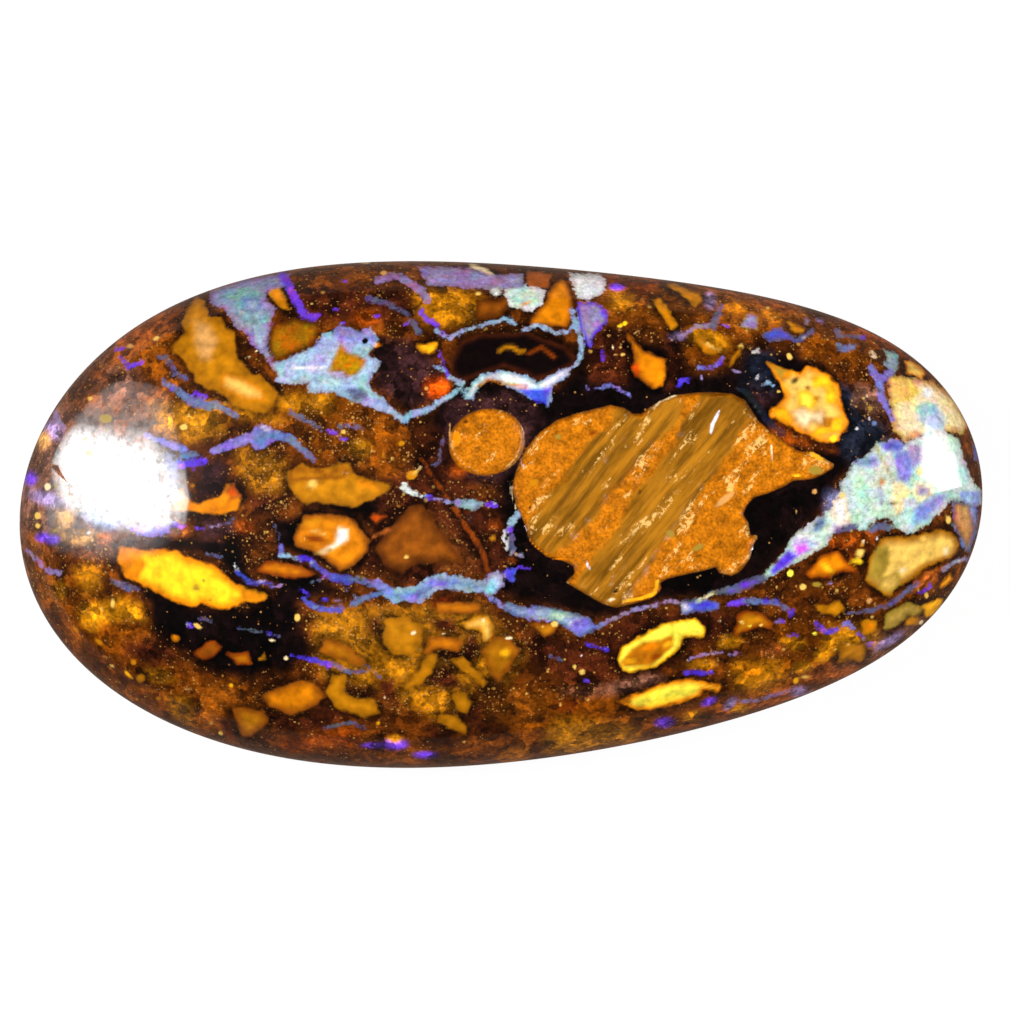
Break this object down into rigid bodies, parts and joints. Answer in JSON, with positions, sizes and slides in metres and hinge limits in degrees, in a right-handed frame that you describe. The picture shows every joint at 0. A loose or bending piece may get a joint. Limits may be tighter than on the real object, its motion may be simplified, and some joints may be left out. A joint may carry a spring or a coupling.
{
  "type": "polished boulder opal cabochon",
  "caption": "Egg-shaped polished boulder opal with a domed top, flat back, opal seams in brown ironstone and two slightly sunken ochre patches.",
  "frame": {"origin": "middle of the flat back, at the centre of the stone's outline box, on the surface that it rests on", "axes": "+X along the stone towards its narrow end, +Y across it towards the side that is the top of the picture, +Z out of the flat back towards the dome"},
  "size_m": [0.0384, 0.0202, 0.0076],
  "materials": {
    "opal_ironstone": "opaque polished stone: dark brown ironstone with golden clay lenses, matt ochre patches and blue to violet opal seams"
  },
  "bodies": {
    "root": {"boulder_opal": "opal_ironstone"}
  },
  "joints": []
}
